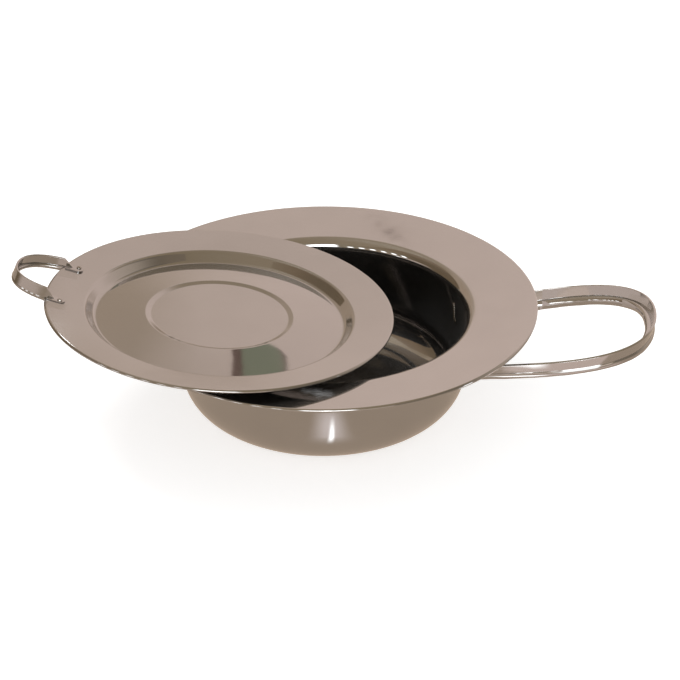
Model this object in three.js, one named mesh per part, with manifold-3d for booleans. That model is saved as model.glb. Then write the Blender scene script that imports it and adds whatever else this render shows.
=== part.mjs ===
// A polished stainless steel pan: a round bowl with a wide dished flange, a loose pressed lid that has
// slid to one side of it, and a bent strip handle on each. Millimetres, +Z up. The origin is the middle
// of the flat base, +X is the side of the pan handle and -Y is the front.
import * as THREE from "three";
import { ConvexHull } from "three/addons/math/ConvexHull.js";
import { mergeVertices } from "three/addons/utils/BufferGeometryUtils.js";
import Module from "manifold-3d";

const wasm = await Module();
wasm.setup();
const degrees = THREE.MathUtils.degToRad;

// Pan: one drawn sheet
const panSheet = 0.9;
const rimRadius = 145;
const rimHeight = 76;
const rimBend = 1.4;
const rimSkirt = 2;
const flangeSlope = degrees(7.5);
const bowlRadius = 98;
const lipBend = 8.5;
const baseBend = 26;

// Lid: one pressed sheet, measured down from its rim edge
const lidSheet = 0.7;
const lidRadius = 116.6;
const lidEdgeBend = 1.4;
const lidEdgeDrop = 1.7;
const lidRimSlope = degrees(9.5);
const recessRadius = 89.5;
const recessDepth = 6.5;
const recessFloorRadius = 84;
const recessBend = 4;
const floorCrown = 3.5;
const discRadius = 46;
const discStep = 1.1;
const discStepWidth = 3.5;
const discBend = 2.5;

// Where the lid lies on the pan
const lidOffsetX = -68.7;
const lidOffsetY = -21.4;
const restClearance = 0.3;

// Pan handle: a strip with its lower edge rolled to a bead, bent to a loop that rises outwards
const panStripSheet = 1.6;
const panStripWeb = 10;
const panStripLean = degrees(20.5);
const panBeadRadius = 3.35;
const panWebFoot = 1.25;
const panLoopHalfWidth = 40.3;
const panLoopTuck = 80;
const panLoopRoot = 45;
const panLoopRootPull = 33.5;
const panLoopEndPull = 72.4;
const panLoopReach = 78.7;
const panHandleTurn = degrees(-6.5);
const panHandleRise = degrees(10.4);
const panHandleClearance = 11.6;
const panWeldRadius = 1.8;

// Lid handle: a smaller strip of the same kind, its ends flattened to tangs that lie on the lid rim
const lidStripSheet = 1.4;
const lidStripWeb = 8.4;
const lidStripLean = degrees(-9.4);
const lidBeadRadius = 1.7;
const lidWebFoot = 0.8;
const lidLoopHalfWidth = 23.8;
const lidLoopTuck = 14;
const lidLoopRoot = 13;
const lidLoopRootPull = 9.8;
const lidLoopEndPull = 24.6;
const lidLoopReach = 25.8;
const lidHandleTurn = degrees(172.3);
const lidHandleRise = degrees(9.5);
const lidWebFall = 8;
const lidTangWidth = 6.5;
const lidTangSheet = 1;
const lidTangSetback = 2;
const lidWeldRadius = 1.7;
const lidWeldProud = 1;
const lidWeldInset = 10.7;
const lidWeldOffset = 1.4;

// Finish
const steelColour = 0xb8aba3;
const steelRoughness = 0.12;
const weldColour = 0x9c8f86;
const weldRoughness = 0.4;

// Fits and facets
const fitGap = 0.3;
const latheSegments = 72;
const bendStep = degrees(22.5);
const beadSteps = 12;
const panLoopSteps = 44;
const lidLoopSteps = 36;
const weldSides = 10;
const weldSteps = 8;
const spotSides = 20;
const domeSteps = 4;
const settlePasses = 5;
const settleAngles = 180;
const settleSpacing = 1.5;
const mergeTolerance = 1e-4;

// A corner of a bent sheet's section, with the radius of its bend.
function corner(x, y, bend = 0) {
  return { point: new THREE.Vector2(x, y), bend };
}

function directionBetween(from, to) {
  return to.point.clone().sub(from.point).normalize();
}

// The corners of the other face of a sheet that lies to the right of the line through the corners.
function otherFace(corners, sheet) {
  return corners.map((here, i) => {
    const before = i > 0 ? directionBetween(corners[i - 1], here) : directionBetween(here, corners[1]);
    const after = i < corners.length - 1 ? directionBetween(here, corners[i + 1]) : before;
    const rightBefore = new THREE.Vector2(before.y, -before.x);
    const rightAfter = new THREE.Vector2(after.y, -after.x);
    const mitre = rightBefore.clone().add(rightAfter);
    mitre.multiplyScalar(sheet / (1 + rightBefore.dot(rightAfter)));
    const turn = Math.sign(before.cross(after));
    return { point: here.point.clone().add(mitre), bend: here.bend + turn * sheet };
  });
}

// The points of a line through the corners, with an arc at each bend.
function bentLine(corners) {
  const points = [corners[0].point];
  for (let i = 1; i < corners.length - 1; i++) {
    const here = corners[i];
    const before = directionBetween(corners[i - 1], here);
    const after = directionBetween(here, corners[i + 1]);
    const turn = Math.atan2(before.cross(after), before.dot(after));
    const side = Math.sign(turn);
    const tangent = here.bend * Math.tan(Math.abs(turn) / 2);
    const start = here.point.clone().addScaledVector(before, -tangent);
    const spoke = new THREE.Vector2(side * before.y, -side * before.x).multiplyScalar(here.bend);
    const centre = start.clone().sub(spoke);
    const steps = Math.ceil(Math.abs(turn) / bendStep);
    for (let step = 0; step <= steps; step++) {
      const at = start.clone().rotateAround(centre, (turn * step) / steps);
      points.push(at);
    }
  }
  points.push(corners[corners.length - 1].point);
  return points;
}

// Both faces of a bent sheet as one closed outline.
function sheetOutline(corners, sheet) {
  const face = bentLine(corners).reverse();
  const back = bentLine(otherFace(corners, sheet));
  return [...back, ...face];
}

function turned(outline) {
  const geometry = new THREE.LatheGeometry(outline, latheSegments);
  geometry.rotateX(Math.PI / 2);
  return geometry;
}

function solidFrom(geometry) {
  const bare = new THREE.BufferGeometry();
  bare.setAttribute("position", geometry.getAttribute("position"));
  bare.setIndex(geometry.getIndex());
  const merged = mergeVertices(bare, mergeTolerance);
  const mesh = new wasm.Mesh({
    numProp: 3,
    vertProperties: merged.getAttribute("position").array,
    triVerts: new Uint32Array(merged.getIndex().array),
  });
  return new wasm.Manifold(mesh);
}

function geometryFrom(solid) {
  const mesh = solid.getMesh();
  const geometry = new THREE.BufferGeometry();
  geometry.setAttribute("position", new THREE.BufferAttribute(mesh.vertProperties, mesh.numProp));
  geometry.setIndex(new THREE.BufferAttribute(mesh.triVerts, 1));
  geometry.computeVertexNormals();
  return geometry;
}

// Height of a turned face above the base at a distance from its axis, or nothing past its edge.
function heightAt(face, radius) {
  for (let i = 1; i < face.length; i++) {
    const inner = face[i - 1];
    const outer = face[i];
    if (outer.x > inner.x && radius >= inner.x && radius <= outer.x) {
      return THREE.MathUtils.mapLinear(radius, inner.x, outer.x, inner.y, outer.y);
    }
  }
  return undefined;
}

// Points of a turned face at even spacing from its axis outwards.
function spacedFace(face, spacing) {
  const edge = face[face.length - 1].x;
  const count = Math.ceil(edge / spacing);
  const radii = Array.from({ length: count }, (_, i) => ((i + 1) * edge) / (count + 1));
  return radii.map((radius) => new THREE.Vector2(radius, heightAt(face, radius)));
}

// Pan section: base, wall, flange and turned-down rim, along the upper face.
function panCorners() {
  const inside = bowlRadius - panSheet;
  const flangeAtWall = rimHeight - Math.tan(flangeSlope) * (rimRadius - rimBend - inside);
  const flangeAtRim = rimHeight + Math.tan(flangeSlope) * rimBend;
  return [
    corner(0, panSheet),
    corner(inside, panSheet, baseBend - panSheet),
    corner(inside, flangeAtWall, lipBend),
    corner(rimRadius, flangeAtRim, rimBend),
    corner(rimRadius, rimHeight - rimSkirt),
  ];
}

// Lid section along its upper face, from the middle of its disc to its turned-down edge.
function lidCorners() {
  const recessEdge = -Math.tan(lidRimSlope) * (lidRadius - recessRadius);
  const floorEdge = recessEdge - recessDepth;
  const floorTop = floorEdge + floorCrown;
  return [
    corner(0, floorTop - discStep),
    corner(discRadius, floorTop - discStep, discBend),
    corner(discRadius + discStepWidth, floorTop, discBend),
    corner(recessFloorRadius, floorEdge, recessBend),
    corner(recessRadius, recessEdge, recessBend),
    corner(lidRadius, 0, lidEdgeBend),
    corner(lidRadius, -lidEdgeDrop),
  ];
}

// Section of a handle strip: a web that leans out of the loop or into it, on a bead rolled along its lower
// edge. The middle of the bead is the origin, x points out of the loop and y up.
function stripOutline(web, lean, sheet, bead, foot) {
  const along = new THREE.Vector2(Math.sin(lean), Math.cos(lean));
  const across = new THREE.Vector2(Math.cos(lean), -Math.sin(lean));
  const middle = new THREE.Vector2();
  const [inner, outer] = [-sheet / 2, sheet / 2].map((shift) => {
    const start = new THREE.Vector2(foot, 0).addScaledVector(across, shift);
    const nearest = start.dot(along);
    const rise = Math.sqrt(nearest ** 2 + bead ** 2 - start.lengthSq()) - nearest;
    return {
      crease: start.clone().addScaledVector(along, rise),
      top: start.clone().addScaledVector(along, web),
    };
  });
  const round = 2 * Math.PI + outer.crease.angle() - inner.crease.angle();
  const outline = [inner.top];
  for (let step = 0; step <= beadSteps; step++) {
    outline.push(inner.crease.clone().rotateAround(middle, (round * step) / beadSteps));
  }
  outline.push(outer.top);
  return outline;
}

// A section drawn in the plane across a loop, swept along the loop. The loop lies flat and starts along
// +X on its -Y side, where its sweep has down and inwards as the section's two directions.
function swept(outline, loop, steps) {
  const section = new THREE.Shape(outline.map((at) => new THREE.Vector2(-at.y, -at.x)));
  return solidFrom(new THREE.ExtrudeGeometry(section, { extrudePath: loop, steps }));
}

// The lid sinks and tilts until its underside stands on the pan at three points round its middle.
function settledLid(panFace, lidFace) {
  const lid = new THREE.Group();
  lid.position.set(lidOffsetX, lidOffsetY, rimHeight);
  const up = new THREE.Vector3(0, 0, 1);
  const normal = up.clone();
  const underside = spacedFace(lidFace, settleSpacing);
  for (let pass = 0; pass < settlePasses; pass++) {
    lid.quaternion.setFromUnitVectors(up, normal.clone().normalize());
    lid.updateMatrix();
    const shortfalls = [];
    for (const { x: radius, y: height } of underside) {
      for (let i = 0; i < settleAngles; i++) {
        const angle = (2 * Math.PI * i) / settleAngles;
        const at = new THREE.Vector3(radius * Math.cos(angle), radius * Math.sin(angle), height);
        at.applyMatrix4(lid.matrix);
        const support = heightAt(panFace, Math.hypot(at.x, at.y));
        if (support !== undefined) {
          const shortfall = support + restClearance - at.z;
          shortfalls.push(new THREE.Vector3(at.x - lidOffsetX, at.y - lidOffsetY, shortfall));
        }
      }
    }
    const seats = new ConvexHull().setFromPoints(shortfalls).faces.filter((face) => face.normal.z > 0);
    const riseOf = (face) => face.constant / face.normal.z;
    const seat = seats.reduce((lowest, face) => (riseOf(face) < riseOf(lowest) ? face : lowest));
    lid.position.z += riseOf(seat);
    normal.x += seat.normal.x / seat.normal.z;
    normal.y += seat.normal.y / seat.normal.z;
  }
  return lid;
}

// The plane of a loop handle: turned to its side of the object and rising outwards through a height
// that it has at a distance from the axis.
function handlePlane(turn, rise, distance, height) {
  const plane = new THREE.Group();
  plane.rotation.set(0, -rise, turn, "ZYX");
  plane.position.z = height - distance * Math.tan(rise);
  plane.updateMatrix();
  return plane;
}

function intoPlane(solid, plane) {
  return solid.transform(plane.matrix.clone().invert().elements);
}

function outOfPlane(solid, plane) {
  return solid.transform(plane.matrix.elements);
}

function flatCurve(path, divisions) {
  const points = path.getSpacedPoints(divisions).map((at) => new THREE.Vector3(at.x, at.y, 0));
  return new THREE.CatmullRomCurve3(points);
}

// Distance from the axis, along a handle, at which its limbs cross a round edge.
function crossing(radius, halfWidth) {
  return Math.sqrt(radius ** 2 - halfWidth ** 2);
}

// A loop of two straight limbs that swell a little on their way to a round end. Its limbs start inside a
// round edge and start to swell nearer to it, and its end reaches out beyond that edge.
function handleLoop(edgeRadius, halfWidth, tuck, root, rootPull, endPull, reach, steps) {
  const edge = crossing(edgeRadius, halfWidth);
  const start = edge - tuck;
  const bend = edge - root;
  const end = edgeRadius + reach;
  const path = new THREE.Path();
  path.moveTo(start, -halfWidth);
  path.lineTo(bend, -halfWidth);
  path.bezierCurveTo(bend + rootPull, -halfWidth, end, -endPull, end, 0);
  path.bezierCurveTo(end, endPull, bend + rootPull, halfWidth, bend, halfWidth);
  path.lineTo(start, halfWidth);
  return flatCurve(path, steps);
}

// The body that stays when a cut leaves crumbs.
function largest(solid) {
  return solid.decompose().reduce((most, body) => (body.volume() > most.volume() ? body : most));
}

// Where a line along a limb of the pan handle meets the bowl wall.
function onWall(plane, lateral, height) {
  const start = new THREE.Vector3(0, lateral, height).applyMatrix4(plane.matrix);
  const along = new THREE.Vector3(1, 0, 0).transformDirection(plane.matrix);
  const squared = along.x ** 2 + along.y ** 2;
  const half = start.x * along.x + start.y * along.y;
  const beyond = start.x ** 2 + start.y ** 2 - bowlRadius ** 2;
  const distance = (Math.sqrt(half ** 2 - squared * beyond) - half) / squared;
  return start.addScaledVector(along, distance);
}

// A bead of weld along a seam.
function weldBead(seam) {
  const section = new THREE.Shape().absarc(0, 0, panWeldRadius, 0, 2 * Math.PI);
  const extrudePath = new THREE.CatmullRomCurve3(seam);
  const options = { extrudePath, steps: weldSteps, curveSegments: weldSides };
  return solidFrom(new THREE.ExtrudeGeometry(section, options));
}

// A round spot of weld with a domed top.
function weldSpot(seat) {
  const outline = [new THREE.Vector2(0, 0), new THREE.Vector2(lidWeldRadius, 0)];
  for (let step = 1; step < domeSteps; step++) {
    const angle = (Math.PI / 2) * (step / domeSteps);
    outline.push(new THREE.Vector2(lidWeldRadius * Math.cos(angle), lidWeldProud * Math.sin(angle)));
  }
  outline.push(new THREE.Vector2(0, lidWeldProud));
  const geometry = new THREE.LatheGeometry(outline, spotSides);
  geometry.rotateX(Math.PI / 2);
  geometry.translate(seat.x, seat.y, seat.z);
  return geometry;
}

// The space of the lid and everything under it, with room for the fit of its handle.
function lidRoom(corners) {
  const face = bentLine(otherFace(corners, -fitGap)).reverse();
  const edge = lidRadius + fitGap;
  return solidFrom(turned([new THREE.Vector2(0, -edge), new THREE.Vector2(edge, -edge), ...face]));
}

// A strip whose web falls from its full height at the lid's edge to nothing on its way in.
function tapered(strip, edge, webTop) {
  const fall = Math.atan2(webTop - lidBeadRadius, lidWebFall);
  const normal = new THREE.Vector3(Math.sin(fall), 0, -Math.cos(fall));
  const height = normal.dot(new THREE.Vector3(edge, 0, webTop));
  return strip.trimByPlane(normal.toArray(), height);
}

// The flattened end of a limb, from the lid's edge to its round tip.
function tang(edge, middle, height) {
  const round = lidTangWidth / 2;
  const shape = new THREE.Shape();
  shape.moveTo(edge - lidTangSetback, middle - round);
  shape.lineTo(edge - lidTangSetback, middle + round);
  shape.absarc(edge - lidLoopTuck + round, middle, round, Math.PI / 2, -Math.PI / 2);
  const options = { depth: height, bevelEnabled: false, curveSegments: weldSides };
  return solidFrom(new THREE.ExtrudeGeometry(shape, options));
}

function metal(color, roughness) {
  return new THREE.MeshStandardMaterial({ color, metalness: 1, roughness });
}

function named(name, geometry, material) {
  const mesh = new THREE.Mesh(geometry, material);
  mesh.name = name;
  return mesh;
}

const steel = metal(steelColour, steelRoughness);
const weldMetal = metal(weldColour, weldRoughness);

// The bowl, its handle and the weld beads between them.
function pan() {
  const group = new THREE.Group();
  group.add(named("pan_bowl", turned(sheetOutline(panCorners(), panSheet)), steel));

  const webTop = panStripWeb * Math.cos(panStripLean);
  const underRim = rimHeight - rimSkirt - panHandleClearance - webTop;
  const rimCrossing = crossing(rimRadius, panLoopHalfWidth);
  const plane = handlePlane(panHandleTurn, panHandleRise, rimCrossing, underRim);
  const loop = handleLoop(
    rimRadius, panLoopHalfWidth, panLoopTuck, panLoopRoot, panLoopRootPull, panLoopEndPull, panLoopReach,
    panLoopSteps,
  );
  const section = stripOutline(panStripWeb, panStripLean, panStripSheet, panBeadRadius, panWebFoot);
  const wallRadius = bowlRadius + fitGap;
  const wallCylinder = new THREE.CylinderGeometry(wallRadius, wallRadius, 2 * rimHeight, latheSegments);
  const wall = solidFrom(wallCylinder.rotateX(Math.PI / 2));
  const handle = largest(swept(section, loop, panLoopSteps).subtract(intoPlane(wall, plane)));
  plane.add(named("pan_handle", geometryFrom(handle), steel));
  group.add(plane);

  const grown = stripOutline(
    panStripWeb + fitGap, panStripLean, panStripSheet + 2 * fitGap, panBeadRadius + fitGap, panWebFoot,
  );
  const stripRoom = outOfPlane(swept(grown, loop, panLoopSteps), plane);
  const underBead = section.filter((at) => at.x > 0 && at.y < 0);
  const outerFace = [...underBead, section[section.length - 1]];
  const sides = [["pan_handle_weld_front", -1], ["pan_handle_weld_rear", 1]];
  for (const [name, side] of sides) {
    const seam = outerFace.map((at) => onWall(plane, side * (panLoopHalfWidth + at.x), at.y));
    const bead = largest(weldBead(seam).subtract(stripRoom).subtract(wall));
    group.add(named(name, geometryFrom(bead), weldMetal));
  }
  return group;
}

// The lid plate where it has come to rest, its handle and the weld spots on its tangs.
function lid() {
  const corners = lidCorners();
  const group = settledLid(bentLine(panCorners()), bentLine(otherFace(corners, lidSheet)));
  group.add(named("lid_plate", turned(sheetOutline(corners, lidSheet)), steel));

  const rimCrossing = crossing(lidRadius, lidLoopHalfWidth);
  const plane = handlePlane(lidHandleTurn, lidHandleRise, rimCrossing, -lidBeadRadius);
  const loop = handleLoop(
    lidRadius, lidLoopHalfWidth, lidLoopTuck, lidLoopRoot, lidLoopRootPull, lidLoopEndPull, lidLoopReach,
    lidLoopSteps,
  );
  const section = stripOutline(lidStripWeb, lidStripLean, lidStripSheet, lidBeadRadius, lidWebFoot);
  const webTop = lidStripWeb * Math.cos(lidStripLean);
  const tangTop = lidBeadRadius + fitGap + lidTangSheet;
  const along = rimCrossing / Math.cos(lidHandleRise);
  const strip = tapered(swept(section, loop, lidLoopSteps), along, webTop);
  const tangs = [-1, 1].map((side) => tang(along, side * lidLoopHalfWidth, tangTop));
  const whole = wasm.Manifold.union([strip, ...tangs]);
  const handle = largest(whole.subtract(intoPlane(lidRoom(corners), plane)));
  plane.add(named("lid_handle", geometryFrom(handle), steel));

  const welds = [["lid_handle_weld_front", 1], ["lid_handle_weld_rear", -1]];
  for (const [name, side] of welds) {
    const lateral = side * (lidLoopHalfWidth + lidWeldOffset);
    const seat = new THREE.Vector3(along - lidWeldInset, lateral, tangTop + fitGap);
    plane.add(named(name, weldSpot(seat), weldMetal));
  }
  group.add(plane);
  return group;
}

const object = new THREE.Group();
object.add(pan(), lid());
export default object;
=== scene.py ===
import math

import bpy
from mathutils import Matrix, Vector


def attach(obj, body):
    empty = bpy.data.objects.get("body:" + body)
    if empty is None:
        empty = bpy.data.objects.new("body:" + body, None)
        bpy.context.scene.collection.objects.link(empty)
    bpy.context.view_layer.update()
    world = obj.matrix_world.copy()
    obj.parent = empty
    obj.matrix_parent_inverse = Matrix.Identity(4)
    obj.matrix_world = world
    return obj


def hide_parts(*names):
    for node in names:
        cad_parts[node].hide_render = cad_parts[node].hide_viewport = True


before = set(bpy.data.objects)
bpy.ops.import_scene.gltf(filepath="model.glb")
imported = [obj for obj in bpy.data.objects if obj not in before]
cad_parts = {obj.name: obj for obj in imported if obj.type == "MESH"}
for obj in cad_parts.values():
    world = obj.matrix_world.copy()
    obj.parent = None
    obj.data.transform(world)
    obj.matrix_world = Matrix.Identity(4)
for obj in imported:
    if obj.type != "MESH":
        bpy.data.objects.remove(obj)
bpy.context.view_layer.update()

MM = 0.001

# Sizes in millimetres, the same as the solids' own.
PAN_SHEET = 0.9
RIM_RADIUS = 145
RIM_HEIGHT = 76
RIM_BEND = 1.4
RIM_SKIRT = 2
FLANGE_SLOPE = math.radians(7.5)
BOWL_RADIUS = 98
LIP_BEND = 8.5
BASE_BEND = 26

LID_SHEET = 0.7
LID_RADIUS = 116.6
LID_EDGE_BEND = 1.4
LID_EDGE_DROP = 1.7
LID_RIM_SLOPE = math.radians(9.5)
RECESS_RADIUS = 89.5
RECESS_DEPTH = 6.5
RECESS_FLOOR_RADIUS = 84
RECESS_BEND = 4
FLOOR_CROWN = 3.5
DISC_RADIUS = 46
DISC_STEP = 1.1
DISC_STEP_WIDTH = 3.5
DISC_BEND = 2.5
LID_CENTRE = (-68.7, -21.4, 83.315)
LID_NORMAL = (0.083369, 0.025973, 0.996180)

PAN_STRIP = {"web": 10, "lean": math.radians(20.5), "sheet": 1.6, "bead": 3.35, "foot": 1.25}
PAN_LOOP = {"edge_radius": RIM_RADIUS, "half_width": 40.3, "tuck": 80, "root": 45, "root_pull": 33.5,
            "end_pull": 72.4, "reach": 78.7}
PAN_HANDLE_TURN = math.radians(-6.5)
PAN_HANDLE_RISE = math.radians(10.4)
PAN_HANDLE_CLEARANCE = 11.6
PAN_WELD_RADIUS = 1.8

LID_STRIP = {"web": 8.4, "lean": math.radians(-9.4), "sheet": 1.4, "bead": 1.7, "foot": 0.8}
LID_LOOP = {"edge_radius": LID_RADIUS, "half_width": 23.8, "tuck": 14, "root": 13, "root_pull": 9.8,
            "end_pull": 24.6, "reach": 25.8}
LID_HANDLE_TURN = math.radians(172.3)
LID_HANDLE_RISE = math.radians(9.5)
LID_WEB_FALL = 8
LID_TANG_WIDTH = 6.5
LID_TANG_SHEET = 1
LID_TANG_SETBACK = 2
LID_WELD_RADIUS = 1.7
LID_WELD_PROUD = 1
LID_WELD_INSET = 10.7
LID_WELD_OFFSET = 1.4

# The finish of the visual pieces in millimetres: gaps, rounded edges, ripples left by hand work.
FIT_GAP = 0.1
LID_TANG_TOP = LID_STRIP["bead"] + FIT_GAP + LID_TANG_SHEET
EDGE_ROUND = 0.25
PAN_RIPPLE_DEPTH = 0.7
PAN_RIPPLE_LENGTH = 11
LID_RIPPLE_DEPTH = 0.15
LID_RIPPLE_LENGTH = 8
RIPPLE_SEED = 3.7
WELD_RIPPLE_LENGTH = 1.7
WELD_RIPPLE_SHARE = 0.12

# How finely the shapes are drawn. SUPPORT is how far beside a bend a flat gets a point, in millimetres, and
# TURN_LIMIT the sharpest turn in radians that a bend is worked out for.
SUPPORT = 0.35
TURN_LIMIT = 3
ROUND_STEPS = 240
ROOM_STEPS = 180
SPOT_STEPS = 40
DOME_STEPS = 10
BEAD_STEPS = 40
LOOP_STEPS = 96
TANG_STEPS = 24
PAN_SPACING = 1.5
LID_SPACING = 1
WELD_POINTS_PER_RIPPLE = 6
WELD_SIDES = 20
MERGE_DISTANCE = 1e-6
SHARP_ANGLE = math.radians(40)


def linear(hex_colour):
    """An sRGB hex colour as linear red, green, blue and alpha."""
    channels = [int(hex_colour[i:i + 2], 16) / 255 for i in (1, 3, 5)]
    return [c / 12.92 if c <= 0.04045 else ((c + 0.055) / 1.055) ** 2.4 for c in channels] + [1]


def add(tree, kind, links=None, values=None, **settings):
    """Adds a node with its settings, the values of its inputs and the outputs that feed them."""
    node = tree.nodes.new(kind)
    for name, value in settings.items():
        setattr(node, name, value)
    for name, value in (values or {}).items():
        node.inputs[name].default_value = value
    for name, output in (links or {}).items():
        tree.links.new(output, node.inputs[name])
    return node


# Sections of bent sheet: corners (x, y, bend radius) along one face, in millimetres.

def direction(start, end):
    return (Vector(end[:2]) - Vector(start[:2])).normalized()


def other_face(corners, sheet):
    """The corners of the face to the right of the line through the corners."""
    moved = []
    for i, here in enumerate(corners):
        before = direction(corners[i - 1], here) if i else direction(here, corners[1])
        after = direction(here, corners[i + 1]) if i < len(corners) - 1 else before
        right_before = Vector((before.y, -before.x))
        right_after = Vector((after.y, -after.x))
        mitre = (right_before + right_after) * (sheet / (1 + right_before.dot(right_after)))
        turn = before.x * after.y - before.y * after.x
        bend = here[2] + math.copysign(sheet, turn) if here[2] else 0
        moved.append((here[0] + mitre.x, here[1] + mitre.y, bend))
    return moved


def supported(outline):
    """Adds a point beside each bend, so that the flats between bends shade flat."""
    points = []
    for i, here in enumerate(outline):
        points.append(here)
        there = outline[(i + 1) % len(outline)]
        along = direction(here, there)
        length = (Vector(there[:2]) - Vector(here[:2])).length
        reach_here = bend_reach(outline[i - 1], here, there) + SUPPORT
        reach_there = bend_reach(here, there, outline[(i + 2) % len(outline)]) + SUPPORT
        if length > reach_here + reach_there + SUPPORT:
            for distance in (reach_here, length - reach_there):
                points.append((here[0] + along.x * distance, here[1] + along.y * distance, 0))
    return points


def bend_reach(before, here, after):
    """How far the arc at a corner reaches along the lines that meet there."""
    angle = direction(before, here).angle(direction(here, after), 0)
    return here[2] * math.tan(min(angle, TURN_LIMIT) / 2)


def sheet_outline(corners, sheet):
    """Both faces of a sheet as one outline, with the cut edge at the last corner rounded."""
    faces = [list(corners), other_face(corners, sheet)]
    for face in faces:
        face[-1] = (face[-1][0], face[-1][1], EDGE_ROUND)
    return supported(faces[1] + faces[0][::-1])


def pan_corners():
    inside = BOWL_RADIUS - PAN_SHEET
    slope = math.tan(FLANGE_SLOPE)
    return [
        (0, PAN_SHEET, 0),
        (inside, PAN_SHEET, BASE_BEND - PAN_SHEET),
        (inside, RIM_HEIGHT - slope * (RIM_RADIUS - RIM_BEND - inside), LIP_BEND),
        (RIM_RADIUS, RIM_HEIGHT + slope * RIM_BEND, RIM_BEND),
        (RIM_RADIUS, RIM_HEIGHT - RIM_SKIRT, 0),
    ]


def lid_corners():
    recess_edge = -math.tan(LID_RIM_SLOPE) * (LID_RADIUS - RECESS_RADIUS)
    floor_edge = recess_edge - RECESS_DEPTH
    floor_top = floor_edge + FLOOR_CROWN
    return [
        (0, floor_top - DISC_STEP, 0),
        (DISC_RADIUS, floor_top - DISC_STEP, DISC_BEND),
        (DISC_RADIUS + DISC_STEP_WIDTH, floor_top, DISC_BEND),
        (RECESS_FLOOR_RADIUS, floor_edge, RECESS_BEND),
        (RECESS_RADIUS, recess_edge, RECESS_BEND),
        (LID_RADIUS, 0, LID_EDGE_BEND),
        (LID_RADIUS, -LID_EDGE_DROP, 0),
    ]


def strip_outline(web, lean, sheet, bead, foot):
    """A web that leans out of a loop or into it, on a bead rolled along its lower edge.

    The x axis points out of the loop."""
    along = Vector((math.sin(lean), math.cos(lean)))
    across = Vector((math.cos(lean), -math.sin(lean)))
    angles = []
    tops = []
    for shift in (-sheet / 2, sheet / 2):
        start = Vector((foot, 0)) + across * shift
        nearest = start.dot(along)
        crease = start + along * (math.sqrt(nearest ** 2 + bead ** 2 - start.length_squared) - nearest)
        angles.append(math.atan2(crease.y, crease.x))
        tops.append((*(start + along * web), EDGE_ROUND))
    outline = [tops[0]]
    for step in range(BEAD_STEPS + 1):
        angle = angles[0] + (2 * math.pi + angles[1] - angles[0]) * step / BEAD_STEPS
        outline.append((bead * math.cos(angle), bead * math.sin(angle), 0))
    return supported(outline + [tops[1]])


# Helpers for the shapes: curves and cutters that the node trees read, and the finished pieces.

def line_object(name, points, cyclic):
    """A curve through points (x, y, z) in millimetres, each with its bend radius."""
    curve = bpy.data.curves.new(name, "CURVE")
    curve.dimensions = "3D"
    spline = curve.splines.new("POLY")
    spline.points.add(len(points) - 1)
    for point, (place, bend) in zip(spline.points, points):
        point.co = (*(Vector(place) * MM), 1)
        point.radius = bend * MM
    spline.use_cyclic_u = cyclic
    return linked(name, curve)


def linked(name, data):
    piece = bpy.data.objects.new(name, data)
    bpy.context.scene.collection.objects.link(piece)
    return piece


def strip_section(name, outline):
    """A closed outline as the section that a sweep takes: x outwards from its path, y downwards."""
    return line_object(name, [((x, -y, 0), bend) for x, y, bend in reversed(outline)], True)


def turned_section(name, outline, radius):
    """An outline from axis to axis as the section that a circle of a radius takes round it."""
    return line_object(name, [((x - radius, -y, 0), bend) for x, y, bend in reversed(outline)], False)


def prism(name, base, rise, matrix):
    """A base of points in millimetres drawn out along a rise and brought into a frame by a matrix."""
    count = len(base)
    vertices = [Vector(at) for at in base] + [Vector(at) + Vector(rise) for at in base]
    faces = [list(reversed(range(count))), [count + i for i in range(count)]]
    for i in range(count):
        after = (i + 1) % count
        faces.append([i, after, count + after, count + i])
    mesh = bpy.data.meshes.new(name)
    mesh.from_pydata([at * MM for at in vertices], [], faces)
    mesh.transform(matrix)
    return linked(name, mesh)


def made(name, tree, inputs, material, matrix):
    """Runs a node tree and keeps its result as a plain mesh in the frame of the object."""
    host = linked(name + "_host", bpy.data.meshes.new(name))
    modifier = host.modifiers.new("shape", "NODES")
    modifier.node_group = tree
    inputs = {**inputs, "Material": material}
    for item in tree.interface.items_tree:
        if item.in_out == "INPUT":
            modifier[item.identifier] = inputs[item.name]
    mesh = bpy.data.meshes.new_from_object(host.evaluated_get(bpy.context.evaluated_depsgraph_get()))
    mesh.transform(matrix)
    mesh.name = name
    for unused in [host] + [value for value in inputs.values() if isinstance(value, bpy.types.Object)]:
        bpy.data.objects.remove(unused)
    return linked(name, mesh)


def keep(piece, body, node):
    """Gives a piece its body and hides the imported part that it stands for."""
    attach(piece, body)
    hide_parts(node)


def new_tree(name, sockets):
    tree = bpy.data.node_groups.new(name, "GeometryNodeTree")
    for label, kind in sockets:
        tree.interface.new_socket(label, in_out="INPUT", socket_type="NodeSocket" + kind)
    tree.interface.new_socket("Geometry", in_out="OUTPUT", socket_type="NodeSocketGeometry")
    return tree, add(tree, "NodeGroupInput").outputs


def bent_line(tree, source, points_per_bend):
    """The curve of an object with an arc at each corner, and its own scale set back to one."""
    shape = add(tree, "GeometryNodeObjectInfo", {"Object": source})
    radius = add(tree, "GeometryNodeInputRadius")
    arcs = add(tree, "GeometryNodeFilletCurve",
               {"Curve": shape.outputs["Geometry"], "Radius": radius.outputs[0], "Count": points_per_bend},
               mode="POLY")
    return add(tree, "GeometryNodeSetCurveRadius", {"Curve": arcs.outputs[0]}, {"Radius": 1}).outputs[0]


def kept_length(tree, curve, name):
    """Keeps the distance along a curve on its points, for the polishing lines."""
    length = add(tree, "GeometryNodeSplineParameter").outputs["Length"]
    return add(tree, "GeometryNodeStoreNamedAttribute", {"Geometry": curve, "Value": length}, {"Name": name},
               data_type="FLOAT", domain="POINT").outputs[0]


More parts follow.
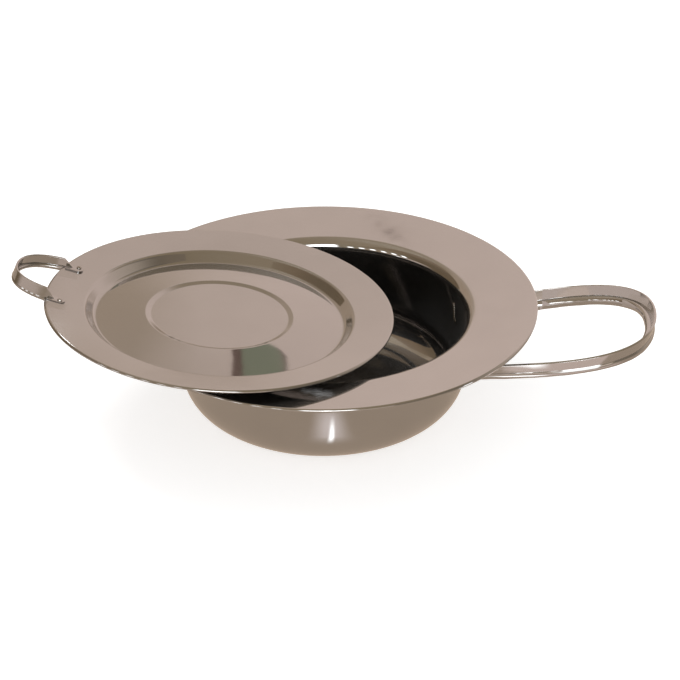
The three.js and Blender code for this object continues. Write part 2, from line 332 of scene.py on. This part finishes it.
def finished(tree, geometry, material):
    """Merges doubles, keeps cut edges sharp and ends the tree."""
    merged = add(tree, "GeometryNodeMergeByDistance", {"Geometry": geometry}, {"Distance": MERGE_DISTANCE})
    smooth = add(tree, "GeometryNodeSetShadeSmooth", {"Geometry": merged.outputs[0]})
    angle = add(tree, "GeometryNodeInputMeshEdgeAngle")
    sharp = add(tree, "ShaderNodeMath", {0: angle.outputs[0]}, {1: SHARP_ANGLE}, operation="GREATER_THAN")
    edges = add(tree, "GeometryNodeSetShadeSmooth",
                {"Geometry": smooth.outputs[0], "Selection": sharp.outputs[0]}, {"Shade Smooth": False},
                domain="EDGE")
    whole = add(tree, "GeometryNodeRealizeInstances", {"Geometry": edges.outputs[0]})
    painted = add(tree, "GeometryNodeSetMaterial", {"Geometry": whole.outputs[0], "Material": material})
    add(tree, "NodeGroupOutput", {"Geometry": painted.outputs[0]})


def turned_tree():
    """A section turned round the upright axis."""
    tree, given = new_tree("turned_sheet", [
        ("Section", "Object"), ("Radius", "Float"), ("Steps round", "Int"), ("Points per bend", "Int"),
        ("Material", "Material")])
    section = kept_length(tree, bent_line(tree, given["Section"], given["Points per bend"]), "across")
    path = add(tree, "GeometryNodeCurvePrimitiveCircle",
               {"Resolution": given["Steps round"], "Radius": given["Radius"]})
    body = add(tree, "GeometryNodeCurveToMesh", {"Curve": path.outputs[0], "Profile Curve": section})
    finished(tree, body.outputs[0], given["Material"])
    return tree


def strip_tree(name, steps):
    """A section swept along a loop, rippled a little by hand finishing, cut to what it meets and joined."""
    tree, given = new_tree(name, [(label, "Object") for label, _ in steps] + [
        ("Loop", "Object"), ("Section", "Object"), ("Spacing", "Float"),
        ("Points per bend", "Int"), ("Ripple depth", "Float"), ("Ripple length", "Float"),
        ("Ripple top", "Float"), ("Material", "Material")])
    section = kept_length(tree, bent_line(tree, given["Section"], given["Points per bend"]), "across")
    loop = add(tree, "GeometryNodeObjectInfo", {"Object": given["Loop"]})
    spaced = add(tree, "GeometryNodeResampleCurve",
                 {"Curve": loop.outputs["Geometry"], "Length": given["Spacing"]}, mode="LENGTH")
    plain = add(tree, "GeometryNodeSetCurveRadius", {"Curve": spaced.outputs[0]}, {"Radius": 1})
    steady = add(tree, "GeometryNodeSetCurveNormal", {"Curve": plain.outputs[0]}, mode="Z_UP")
    body = add(tree, "GeometryNodeCurveToMesh", {"Curve": steady.outputs[0], "Profile Curve": section},
               {"Fill Caps": True})
    rate = add(tree, "ShaderNodeMath", {1: given["Ripple length"]}, {0: 1}, operation="DIVIDE")
    noise = add(tree, "ShaderNodeTexNoise", {"Scale": rate.outputs[0]}, {"W": RIPPLE_SEED, "Detail": 1},
                noise_dimensions="4D")
    swing = add(tree, "ShaderNodeMath", {0: noise.outputs[0]}, {1: 0.5}, operation="SUBTRACT")
    position = add(tree, "GeometryNodeInputPosition")
    height = add(tree, "ShaderNodeSeparateXYZ", {0: position.outputs[0]}).outputs[2]
    fading = add(tree, "ShaderNodeMapRange",
                 {"Value": height, "From Max": given["Ripple top"], "To Min": given["Ripple depth"]},
                 {"From Min": 0, "To Max": 0}, interpolation_type="SMOOTHSTEP")
    depth = add(tree, "ShaderNodeMath", {0: swing.outputs[0], 1: fading.outputs[0]}, operation="MULTIPLY")
    normal = add(tree, "GeometryNodeInputNormal")
    offset = add(tree, "ShaderNodeVectorMath", {0: normal.outputs[0], "Scale": depth.outputs[0]},
                 operation="SCALE")
    rippled = add(tree, "GeometryNodeSetPosition", {"Geometry": body.outputs[0], "Offset": offset.outputs[0]})
    shape = rippled.outputs[0]
    for label, operation in steps:
        tool = add(tree, "GeometryNodeObjectInfo", {"Object": given[label]}).outputs["Geometry"]
        result = add(tree, "GeometryNodeMeshBoolean", {"Mesh 2": tool},
                     operation=operation, solver="MANIFOLD")
        tree.links.new(shape, result.inputs["Mesh 1" if operation == "DIFFERENCE" else "Mesh 2"])
        shape = result.outputs[0]
    finished(tree, shape, given["Material"])
    return tree


def bead_tree():
    """A weld bead along a seam, with the even ripples of its passes."""
    tree, given = new_tree("weld_bead", [
        ("Seam", "Object"), ("Points per bend", "Int"), ("Radius", "Float"), ("Ripple length", "Float"),
        ("Ripple share", "Float"), ("Material", "Material")])
    seam = bent_line(tree, given["Seam"], given["Points per bend"])
    spacing = add(tree, "ShaderNodeMath", {0: given["Ripple length"]}, {1: WELD_POINTS_PER_RIPPLE},
                  operation="DIVIDE")
    spaced = add(tree, "GeometryNodeResampleCurve",
                 {"Curve": seam, "Length": spacing.outputs[0]}, mode="LENGTH")
    length = add(tree, "GeometryNodeSplineParameter").outputs["Length"]
    passes = add(tree, "ShaderNodeMath", {0: length, 1: given["Ripple length"]}, operation="DIVIDE")
    turn = add(tree, "ShaderNodeMath", {0: passes.outputs[0]}, {1: 2 * math.pi}, operation="MULTIPLY")
    wave = add(tree, "ShaderNodeMath", {0: turn.outputs[0]}, operation="SINE")
    swell = add(tree, "ShaderNodeMath", {0: wave.outputs[0], 1: given["Ripple share"]}, {2: 1},
                operation="MULTIPLY_ADD")
    plain = add(tree, "GeometryNodeSetCurveRadius", {"Curve": spaced.outputs[0]}, {"Radius": 1})
    ring = add(tree, "GeometryNodeCurvePrimitiveCircle", {"Radius": given["Radius"]},
               {"Resolution": WELD_SIDES})
    body = add(tree, "GeometryNodeCurveToMesh",
               {"Curve": plain.outputs[0], "Profile Curve": ring.outputs[0], "Scale": swell.outputs[0]},
               {"Fill Caps": True})
    finished(tree, body.outputs[0], given["Material"])
    return tree


# Materials.

def polished_steel(name, light, shade):
    """Stainless sheet, drawn and then mopped to a mirror. It takes on what stands round it, a bit softened.

    Fine polishing lines run round or along each piece, and wiping leaves faint cloudy patches."""
    patch_width = 25 * MM
    line_spacing = 1.2 * MM
    line_depth = 0.004 * MM
    wave_length = 18 * MM
    wave_depth = 0.04 * MM
    material = bpy.data.materials.new(name)
    material.use_nodes = True
    tree = material.node_tree
    shader = tree.nodes["Principled BSDF"]
    shader.inputs["Metallic"].default_value = 1
    # A film of hairlines and grease that scatters a little light, also into the dark reflections.
    shader.inputs["Coat Weight"].default_value = 0.9
    shader.inputs["Coat Roughness"].default_value = 0.5
    place = add(tree, "ShaderNodeTexCoord").outputs["Object"]
    patches = add(tree, "ShaderNodeTexNoise", {"Vector": place}, {"Scale": 1 / patch_width, "Detail": 4})
    colour = add(tree, "ShaderNodeMix", {"Factor": patches.outputs[0]}, data_type="RGBA")
    colour.inputs[6].default_value = linear(shade)
    colour.inputs[7].default_value = linear(light)
    tree.links.new(colour.outputs[2], shader.inputs["Base Color"])
    gloss = add(tree, "ShaderNodeMapRange", {"Value": patches.outputs[0]},
                {"From Min": 0.3, "From Max": 0.7, "To Min": 0.03, "To Max": 0.07})
    tree.links.new(gloss.outputs[0], shader.inputs["Roughness"])
    # The real polishing lines are a few hundredths of a millimetre apart. They are drawn further apart, so
    # that they show.
    across = add(tree, "ShaderNodeAttribute", attribute_name="across").outputs["Fac"]
    lines = add(tree, "ShaderNodeTexNoise", {"W": across}, {"Scale": 1 / line_spacing, "Detail": 2},
                noise_dimensions="1D")
    # Slow waves that a hand-held mop leaves in the sheet.
    waves = add(tree, "ShaderNodeTexNoise", {"Vector": place}, {"Scale": 1 / wave_length, "Detail": 1})
    line_bump = add(tree, "ShaderNodeBump", {"Height": lines.outputs[0]},
                    {"Strength": 1, "Distance": line_depth})
    wave_bump = add(tree, "ShaderNodeBump", {"Height": waves.outputs[0], "Normal": line_bump.outputs[0]},
                    {"Strength": 1, "Distance": wave_depth})
    tree.links.new(wave_bump.outputs[0], shader.inputs["Normal"])
    return material


def weld_metal():
    """Stainless filler metal, laid by hand and wire brushed: greyer than the sheet, with a dull grain."""
    grain_width = 0.6 * MM
    grain_depth = 0.03 * MM
    material = bpy.data.materials.new("brushed_weld_stainless")
    material.use_nodes = True
    tree = material.node_tree
    shader = tree.nodes["Principled BSDF"]
    shader.inputs["Metallic"].default_value = 1
    place = add(tree, "ShaderNodeTexCoord").outputs["Object"]
    grain = add(tree, "ShaderNodeTexNoise", {"Vector": place}, {"Scale": 1 / grain_width, "Detail": 3})
    colour = add(tree, "ShaderNodeMix", {"Factor": grain.outputs[0]}, data_type="RGBA")
    colour.inputs[6].default_value = linear("#8d8b89")
    colour.inputs[7].default_value = linear("#b5b3b1")
    tree.links.new(colour.outputs[2], shader.inputs["Base Color"])
    gloss = add(tree, "ShaderNodeMapRange", {"Value": grain.outputs[0]}, {"To Min": 0.12, "To Max": 0.3})
    tree.links.new(gloss.outputs[0], shader.inputs["Roughness"])
    bump = add(tree, "ShaderNodeBump", {"Height": grain.outputs[0]},
               {"Strength": 0.6, "Distance": grain_depth})
    tree.links.new(bump.outputs[0], shader.inputs["Normal"])
    return material


PAN_STEEL = polished_steel("mirror_polished_stainless_pan", "#b4b4b4", "#acacac")
# The lid's copy of the same steel is a shade darker: painted shade that dims all that the lid mirrors.
LID_STEEL = polished_steel("mirror_polished_stainless_lid", "#aeaeae", "#a6a6a6")
WELD = weld_metal()


# The pan.

def along_plane(turn, rise, distance, height):
    """The plane of a handle: turned to its side, rising outwards through a height at a distance."""
    lift = Matrix.Translation((0, 0, (height - distance * math.tan(rise)) * MM))
    return lift @ Matrix.Rotation(turn, 4, "Z") @ Matrix.Rotation(-rise, 4, "Y")


def crossing(radius, half_width):
    """Distance along a handle at which its limbs cross a round edge."""
    return math.sqrt(radius ** 2 - half_width ** 2)


def handle_loop(edge_radius, half_width, tuck, root, root_pull, end_pull, reach):
    """Two straight limbs that swell a little on their way to a round end."""
    edge = crossing(edge_radius, half_width)
    bend = Vector((edge - root, half_width, 0))
    root_end = Vector((edge - root + root_pull, half_width, 0))
    end = Vector((edge_radius + reach, 0, 0))
    end_start = Vector((end.x, end_pull, 0))
    limb = [Vector((edge - tuck, half_width, 0))]
    for step in range(LOOP_STEPS + 1):
        t = step / LOOP_STEPS
        s = 1 - t
        limb.append(s ** 3 * bend + 3 * s * s * t * root_end + 3 * s * t * t * end_start + t ** 3 * end)
    front = [Vector((at.x, -at.y, 0)) for at in limb]
    return [(at, 0) for at in front + limb[-2::-1]]


def on_wall(plane, lateral, height):
    """Where a line along a limb of the pan handle meets the bowl wall."""
    start = plane @ (Vector((0, lateral, height)) * MM)
    along = (plane.to_3x3() @ Vector((1, 0, 0))).normalized()
    squared = along.x ** 2 + along.y ** 2
    half = start.x * along.x + start.y * along.y
    beyond = start.x ** 2 + start.y ** 2 - (BOWL_RADIUS * MM) ** 2
    return start + along * ((math.sqrt(half ** 2 - squared * beyond) - half) / squared)


def build_pan():
    outline = sheet_outline(pan_corners(), PAN_SHEET)
    inputs = {"Section": turned_section("pan_section", outline, RIM_RADIUS), "Radius": RIM_RADIUS * MM,
              "Steps round": ROUND_STEPS, "Points per bend": 16}
    bowl = made("steel_bowl", TURNED_TREE, inputs, PAN_STEEL, Matrix())
    keep(bowl, "pan", "pan_bowl")

    half_width = PAN_LOOP["half_width"]
    web_top = PAN_STRIP["web"] * math.cos(PAN_STRIP["lean"])
    under_rim = RIM_HEIGHT - RIM_SKIRT - PAN_HANDLE_CLEARANCE - web_top
    plane = along_plane(PAN_HANDLE_TURN, PAN_HANDLE_RISE, crossing(RIM_RADIUS, half_width), under_rim)
    round_wall = []
    for step in range(ROUND_STEPS):
        angle = 2 * math.pi * step / ROUND_STEPS
        round_wall.append((BOWL_RADIUS * math.cos(angle), BOWL_RADIUS * math.sin(angle), -RIM_HEIGHT))
    outline = strip_outline(**PAN_STRIP)
    inputs = {"Loop": line_object("pan_loop", handle_loop(**PAN_LOOP), False),
              "Section": strip_section("pan_strip", outline),
              "Wall": prism("wall", round_wall, (0, 0, 3 * RIM_HEIGHT), plane.inverted()),
              "Spacing": PAN_SPACING * MM, "Points per bend": 6, "Ripple depth": PAN_RIPPLE_DEPTH * MM,
              "Ripple length": PAN_RIPPLE_LENGTH * MM, "Ripple top": 2 * PAN_STRIP["bead"] * MM}
    tree = strip_tree("pan_strip", [("Wall", "DIFFERENCE")])
    handle = made("steel_pan_handle", tree, inputs, PAN_STEEL, plane)
    keep(handle, "pan", "pan_handle")

    bead = PAN_STRIP["bead"]
    face = [(0, -bead, 0), (bead, -bead, bead), outline[-1]]
    for name, side in (("front", -1), ("rear", 1)):
        seam = [(on_wall(plane, side * (half_width + x), y) / MM, bend) for x, y, bend in face]
        inputs = {"Seam": line_object("seam", seam, False), "Points per bend": 8,
                  "Radius": PAN_WELD_RADIUS * MM, "Ripple length": WELD_RIPPLE_LENGTH * MM,
                  "Ripple share": WELD_RIPPLE_SHARE}
        bead_piece = made("weld_bead_pan_" + name, BEAD_TREE, inputs, WELD, Matrix())
        keep(bead_piece, "pan", "pan_handle_weld_" + name)


# The lid.

def lid_room(plane):
    """The space of the lid and everything under it, as a turned cutter in the frame of the handle."""
    edge = LID_RADIUS + FIT_GAP
    outline = [(0, -edge, 0), (edge, -edge, 0)] + other_face(lid_corners(), -FIT_GAP)[::-1]
    inputs = {"Section": turned_section("room_section", outline, LID_RADIUS), "Radius": LID_RADIUS * MM,
              "Steps round": ROOM_STEPS, "Points per bend": 6}
    return made("lid_room", TURNED_TREE, inputs, None, plane.inverted())


def lid_taper(edge):
    """The space over the line along which the web falls on its way in from the lid's edge."""
    top = LID_STRIP["web"] * math.cos(LID_STRIP["lean"])
    slope = (top - LID_STRIP["bead"]) / LID_WEB_FALL
    low = (edge - 2 * LID_WEB_FALL, -LID_RADIUS, top - 2 * LID_WEB_FALL * slope)
    high = (edge + LID_WEB_FALL, -LID_RADIUS, top + LID_WEB_FALL * slope)
    return prism("taper", [(low[0], -LID_RADIUS, high[2]), high, low], (0, 2 * LID_RADIUS, 0), Matrix())


def lid_tang(edge, middle):
    """The flattened end of a limb, from the lid's edge to its round tip."""
    round_end = LID_TANG_WIDTH / 2
    back = edge - LID_TANG_SETBACK
    base = [(back, middle - round_end, 0), (back, middle + round_end, 0)]
    for step in range(TANG_STEPS + 1):
        angle = math.pi * (0.5 + step / TANG_STEPS)
        base.append((edge - LID_LOOP["tuck"] + round_end * (1 + math.cos(angle)),
                     middle + round_end * math.sin(angle), 0))
    return prism("tang", base, (0, 0, LID_TANG_TOP), Matrix())


def build_lid():
    tilt = Vector((0, 0, 1)).rotation_difference(Vector(LID_NORMAL)).to_matrix().to_4x4()
    place = Matrix.Translation(Vector(LID_CENTRE) * MM) @ tilt
    outline = sheet_outline(lid_corners(), LID_SHEET)
    inputs = {"Section": turned_section("lid_section", outline, LID_RADIUS), "Radius": LID_RADIUS * MM,
              "Steps round": ROUND_STEPS, "Points per bend": 12}
    plate = made("steel_lid", TURNED_TREE, inputs, LID_STEEL, place)
    keep(plate, "lid", "lid_plate")

    half_width = LID_LOOP["half_width"]
    edge = crossing(LID_RADIUS, half_width)
    along = edge / math.cos(LID_HANDLE_RISE)
    plane = along_plane(LID_HANDLE_TURN, LID_HANDLE_RISE, edge, -LID_STRIP["bead"])
    inputs = {"Loop": line_object("lid_loop", handle_loop(**LID_LOOP), False),
              "Section": strip_section("lid_strip", strip_outline(**LID_STRIP)),
              "Taper": lid_taper(along), "Front tang": lid_tang(along, half_width),
              "Rear tang": lid_tang(along, -half_width), "Lid": lid_room(plane),
              "Spacing": LID_SPACING * MM, "Points per bend": 6, "Ripple depth": LID_RIPPLE_DEPTH * MM,
              "Ripple length": LID_RIPPLE_LENGTH * MM, "Ripple top": 2 * LID_STRIP["bead"] * MM}
    steps = [("Taper", "DIFFERENCE"), ("Front tang", "UNION"), ("Rear tang", "UNION"), ("Lid", "DIFFERENCE")]
    handle = made("steel_lid_handle", strip_tree("lid_strip", steps), inputs, LID_STEEL, place @ plane)
    keep(handle, "lid", "lid_handle")

    outline = [(0, -FIT_GAP, 0), (LID_WELD_RADIUS, -FIT_GAP, 0)]
    for step in range(DOME_STEPS):
        angle = step * math.pi / (2 * DOME_STEPS)
        outline.append((LID_WELD_RADIUS * math.cos(angle), LID_WELD_PROUD * math.sin(angle), 0))
    outline.append((0, LID_WELD_PROUD, 0))
    for name, side in (("front", 1), ("rear", -1)):
        lateral = side * (half_width + LID_WELD_OFFSET)
        seat = Vector((along - LID_WELD_INSET, lateral, LID_TANG_TOP + FIT_GAP))
        inputs = {"Section": turned_section("spot_section", outline, LID_WELD_RADIUS),
                  "Radius": LID_WELD_RADIUS * MM, "Steps round": SPOT_STEPS, "Points per bend": 1}
        spot = made("weld_spot_lid_" + name, TURNED_TREE, inputs, WELD,
                    place @ plane @ Matrix.Translation(seat * MM))
        keep(spot, "lid", "lid_handle_weld_" + name)


TURNED_TREE = turned_tree()
BEAD_TREE = bead_tree()
build_pan()
build_lid()


# The studio: camera, floor, world, lamps and reflecting cards, in metres.

CAMERA_PLACE = (0.01107, -1.13007, 0.68575)
CAMERA_AIM = (0.01107, 0, 0.04315)
CAMERA_LENS = 100.04
FLOOR_HALF = 6
ROOM_SIDE = 1.0
ROOM_FRONT = -1.5
ROOM_BACK = 0.9
ROOM_TOP = 1.75
FRONT_STEP = 0.8
CARD_STEPS = 32


def build_camera():
    camera = bpy.data.cameras.new("camera")
    camera.sensor_width = 36
    camera.lens = CAMERA_LENS
    camera.clip_end = 20
    stand = linked("camera", camera)
    stand.location = CAMERA_PLACE
    stand.rotation_euler = (Vector(CAMERA_AIM) - stand.location).to_track_quat("-Z", "Y").to_euler()
    bpy.context.scene.camera = stand
    bpy.context.scene.view_settings.view_transform = "Standard"


def seen_directly(tree):
    """1 for rays that show the surroundings: to the camera, off metal or through glass."""
    path = add(tree, "ShaderNodeLightPath").outputs
    either = add(tree, "ShaderNodeMath", {0: path["Is Camera Ray"], 1: path["Is Glossy Ray"]},
                 operation="MAXIMUM")
    return add(tree, "ShaderNodeMath", {0: either.outputs[0], 1: path["Is Transmission Ray"]},
               operation="MAXIMUM").outputs[0]


def build_world():
    world = bpy.data.worlds.new("studio")
    bpy.context.scene.world = world
    world.use_nodes = True
    tree = world.node_tree
    light = tree.nodes["Background"]
    light.inputs["Color"].default_value = linear("#ffffff")
    light.inputs["Strength"].default_value = 0.6
    white = add(tree, "ShaderNodeBackground", None, {"Color": linear("#ffffff"), "Strength": 1})
    mix = add(tree, "ShaderNodeMixShader", {0: seen_directly(tree), 1: light.outputs[0], 2: white.outputs[0]})
    tree.links.new(mix.outputs[0], tree.nodes["World Output"].inputs["Surface"])


def build_floor():
    mesh = bpy.data.meshes.new("floor")
    half = FLOOR_HALF
    corners = level(0, (-half, -half), (half, -half), (half, half), (-half, half))
    mesh.from_pydata(corners, [], [(0, 1, 2, 3)])
    floor = linked("floor", mesh)
    material = bpy.data.materials.new("white_matt_paper")
    material.use_nodes = True
    tree = material.node_tree
    paper = add(tree, "ShaderNodeBsdfDiffuse", None, {"Color": linear("#e6e6e6")})
    glow = add(tree, "ShaderNodeEmission", {"Strength": seen_directly(tree)}, {"Color": linear("#d4d4d4")})
    both = add(tree, "ShaderNodeAddShader", {0: paper.outputs[0], 1: glow.outputs[0]})
    tree.links.new(both.outputs[0], tree.nodes["Material Output"].inputs["Surface"])
    mesh.materials.append(material)


def upright(left, right, low, high):
    """The corners of a card that stands between two places (x, y) and reaches from one height to another."""
    return [(*left, low), (*right, low), (*right, high), (*left, high)]


def level(height, *places):
    """The corners of a card that lies at a height over four places (x, y)."""
    return [(x, y, height) for x, y in places]


def even(colour):
    """The stops of a card of one tone."""
    return [(0, colour), (1, colour)]


def build_card(name, corners, low, high=None, fade=0, strength=1):
    """A card that only the steel sees.

    Its corners go round from its lower left. Its tone runs from left to right through the stops (share of the
    width, colour) of its low row, and in its upper half through those of its high row where it has one. It
    fades out over a share of its size at its edges."""
    count = CARD_STEPS
    low_left, low_right, high_right, high_left = [Vector(at) for at in corners]
    vertices = []
    shares = {"cover": [], "width": [], "height": []}
    for row in range(count + 1):
        v = row / count
        for column in range(count + 1):
            u = column / count
            vertices.append(low_left.lerp(low_right, u).lerp(high_left.lerp(high_right, u), v))
            cover = 1
            for inset in (min(u, 1 - u), min(v, 1 - v)):
                edge = min(1, inset / fade) if fade else 1
                cover *= edge * edge * (3 - 2 * edge)
            shares["cover"].append(cover)
            shares["width"].append(u)
            shares["height"].append(v)
    faces = []
    for row in range(count):
        for column in range(count):
            first = row * (count + 1) + column
            faces.append((first, first + 1, first + count + 2, first + count + 1))
    mesh = bpy.data.meshes.new(name)
    mesh.from_pydata(vertices, [], faces)
    for label, values in shares.items():
        mesh.attributes.new(label, "FLOAT", "POINT").data.foreach_set("value", values)
    material = bpy.data.materials.new(name)
    material.use_nodes = True
    tree = material.node_tree
    at = {label: add(tree, "ShaderNodeAttribute", attribute_name=label).outputs["Fac"] for label in shares}
    rows = []
    for stops in (low, high or low):
        tone = add(tree, "ShaderNodeValToRGB", {"Fac": at["width"]})
        ramp = tone.color_ramp.elements
        while len(ramp) < len(stops):
            ramp.new(0.5)
        for element, (share, colour) in zip(ramp, stops):
            element.position = share
            element.color = linear(colour)
        rows.append(tone.outputs[0])
    rise = add(tree, "ShaderNodeMapRange", {"Value": at["height"]}, {"From Min": 0.45, "From Max": 0.7},
               interpolation_type="SMOOTHSTEP")
    tone = add(tree, "ShaderNodeMix", {"Factor": rise.outputs[0], 6: rows[0], 7: rows[1]}, data_type="RGBA")
    glow = add(tree, "ShaderNodeEmission", {"Color": tone.outputs[2]}, {"Strength": strength})
    clear = add(tree, "ShaderNodeBsdfTransparent")
    mix = add(tree, "ShaderNodeMixShader", {0: at["cover"], 1: clear.outputs[0], 2: glow.outputs[0]})
    tree.links.new(mix.outputs[0], tree.nodes["Material Output"].inputs["Surface"])
    mesh.materials.append(material)
    card = linked(name, mesh)
    card.visible_camera = False
    card.visible_diffuse = False
    card.visible_shadow = False


def build_lamp(name, place, aim, size, power):
    lamp = bpy.data.lights.new(name, "AREA")
    lamp.shape = "DISK"
    lamp.size = size
    lamp.energy = power
    stand = linked(name, lamp)
    stand.location = place
    stand.rotation_euler = (Vector(aim) - Vector(place)).to_track_quat("-Z", "Y").to_euler()


def build_room():
    """The walls, the ceiling and the table: warm tones, paler at the back right, brown to the left."""
    far_left, far_right = (-ROOM_SIDE, ROOM_BACK), (ROOM_SIDE, ROOM_BACK)
    near_left, near_right = (-ROOM_SIDE, ROOM_FRONT), (ROOM_SIDE, ROOM_FRONT)
    build_card("back_card", upright(far_left, far_right, 0, ROOM_TOP),
               [(0.3, "#c7af98"), (0.38, "#c8b29d"), (0.46, "#f2dbcd"), (0.53, "#f7dfd2"), (0.62, "#fce4d7")],
               [(0.3, "#ab967b"), (0.6, "#b4a087")])
    build_card("left_card", upright(near_left, far_left, 0, ROOM_TOP),
               [(0.3, "#b7a38b"), (0.6, "#836f56")], [(0.3, "#a48f74"), (0.6, "#937a5e")])
    build_card("right_card", upright(far_right, near_right, 0, ROOM_TOP),
               [(0.0, "#fce4d7"), (0.3, "#d3c1af"), (0.5, "#918372")],
               [(0.1, "#a89b8b"), (0.35, "#807467"), (0.6, "#978672")])
    build_card("front_card", upright(near_right, near_left, 0, FRONT_STEP),
               [(0, "#f3ddcf"), (1, "#e8d2c3")], even("#9d8c73"), strength=1.15)
    build_card("front_high_card", upright(near_right, near_left, FRONT_STEP, ROOM_TOP), even("#a8967c"))
    build_card("top_card", level(ROOM_TOP, near_left, near_right, far_right, far_left),
               [(0, "#b39e83"), (1, "#a8957a")])
    build_card("table_card", level(0.0005, near_left, near_right, far_right, far_left), even("#c6b19d"))
    build_card("left_low_card", upright((-0.95, -1.4), (-0.95, 0.2), 0, 0.42), even("#f3ddcf"), fade=0.25)
    build_card("back_low_card", upright((-0.9, 0.88), (0.9, 0.88), 0, 0.3), even("#b09a86"), fade=0.5)
    # A framed green board on the back wall, mirrored in the floor of the lid.
    build_card("board_card", upright((0.012, 0.88), (0.135, 0.88), 0.722, 0.93),
               [(0.18, "#6b4f46"), (0.25, "#8d937b"), (0.92, "#8d937b"), (0.96, "#6b4f46")], fade=0.03)


def build_bright_cards():
    """The window behind the camera and the row of lamps beside it, whose specks show along the far lip."""
    build_card("window_card", upright((0.48, -1.45), (-0.34, -1.45), 0.48, 1.45), even("#ffffff"),
               fade=0.15, strength=4.5)
    lamp_count, first_turn, turn_step = 6, 22, 9
    middle_x, middle_y, distance, half_width = 0.03, 0.08, 1.05, 0.055
    for step in range(lamp_count):
        turn = math.radians(first_turn + turn_step * step)
        across, along = math.sin(turn), math.cos(turn)
        x = middle_x - distance * across
        y = middle_y - distance * along
        left = (x + half_width * along, y - half_width * across)
        right = (x - half_width * along, y + half_width * across)
        build_card("lamp_card_%d" % step, upright(left, right, 0.4, 0.62), even("#ffffff"),
                   fade=0.3, strength=4)


def build_near_cards():
    """Small glowing cards near the steel: painted highlights, and painted reflections where it would mirror
    only other steel.
    """
    # The far bend of the pan handle: painted reflections of pale cards beside it.
    build_card("loop_card", [(0.152, -0.035, 0.05), (0.152, 0.032, 0.045), (0.152, 0.032, 0.07),
                             (0.152, -0.035, 0.085)], even("#ecd8cd"), fade=0.05)
    build_card("bend_card", upright((0.205, 0.004), (0.205, 0.014), 0.06, 0.073),
               even("#d6c2b3"), even("#e4d0c3"), fade=0.2)
    # The near limb of the pan handle: a painted reflection on its web, and painted highlights, a white line
    # by its root and a thick white one on its bead.
    build_card("strip_card", level(0.04, (0.11, -0.095), (0.23, -0.1), (0.23, -0.083), (0.11, -0.063)),
               even("#fce4d7"), fade=0.1)
    build_card("line_card", level(0.0405, (0.098, -0.079), (0.15, -0.088), (0.15, -0.074), (0.098, -0.066)),
               even("#ffffff"), fade=0.3, strength=3.5)
    build_card("limb_card", [(0.2, -0.13, 0.028), (0.135, -0.13, 0.034), (0.135, -0.13, 0.085),
                             (0.2, -0.13, 0.1)], even("#ffffff"), fade=0.15, strength=2.4)
    # Painted reflections on the roots of the lid handle, and a painted highlight, a white dot, on its front
    # weld spot.
    build_card("rear_root_card", [(-0.183, 0.004, 0.0932), (-0.166, 0.004, 0.089), (-0.166, 0.018, 0.0894),
                                  (-0.183, 0.018, 0.0936)], even("#e6d0c1"), fade=0.15)
    build_card("front_root_card", [(-0.185, -0.044, 0.0944), (-0.168, -0.044, 0.0902),
                                   (-0.168, -0.031, 0.0897), (-0.185, -0.031, 0.0939)],
               even("#dcc6b5"), fade=0.3)
    build_card("spot_card",
               level(0.117, (-0.177, -0.055), (-0.157, -0.055), (-0.157, -0.029), (-0.177, -0.029)),
               even("#ffffff"), fade=0.3, strength=8)
    # The soft flare on the front of the bowl and the sharp glint within it.
    build_card("flare_card", level(0.001, (-0.022, -0.195), (0.04, -0.195), (0.04, -0.105), (-0.022, -0.105)),
               even("#fff0ea"), fade=0.5, strength=1.2)
    build_card("glint_card", level(0.002, (0.009, -0.165), (0.02, -0.165), (0.01, -0.108), (0.001, -0.108)),
               even("#ffffff"), fade=0.5, strength=3.5)


build_camera()
build_world()
build_floor()
build_room()
build_bright_cards()
build_near_cards()
build_lamp("soft_lamp", place=(-0.8, 0.6, 2.2), aim=(0, 0, 0), size=1.2, power=18)
build_lamp("camera_lamp", place=(0.03, -1.12, 0.8), aim=(0, 0, 0.05), size=0.12, power=0.4)
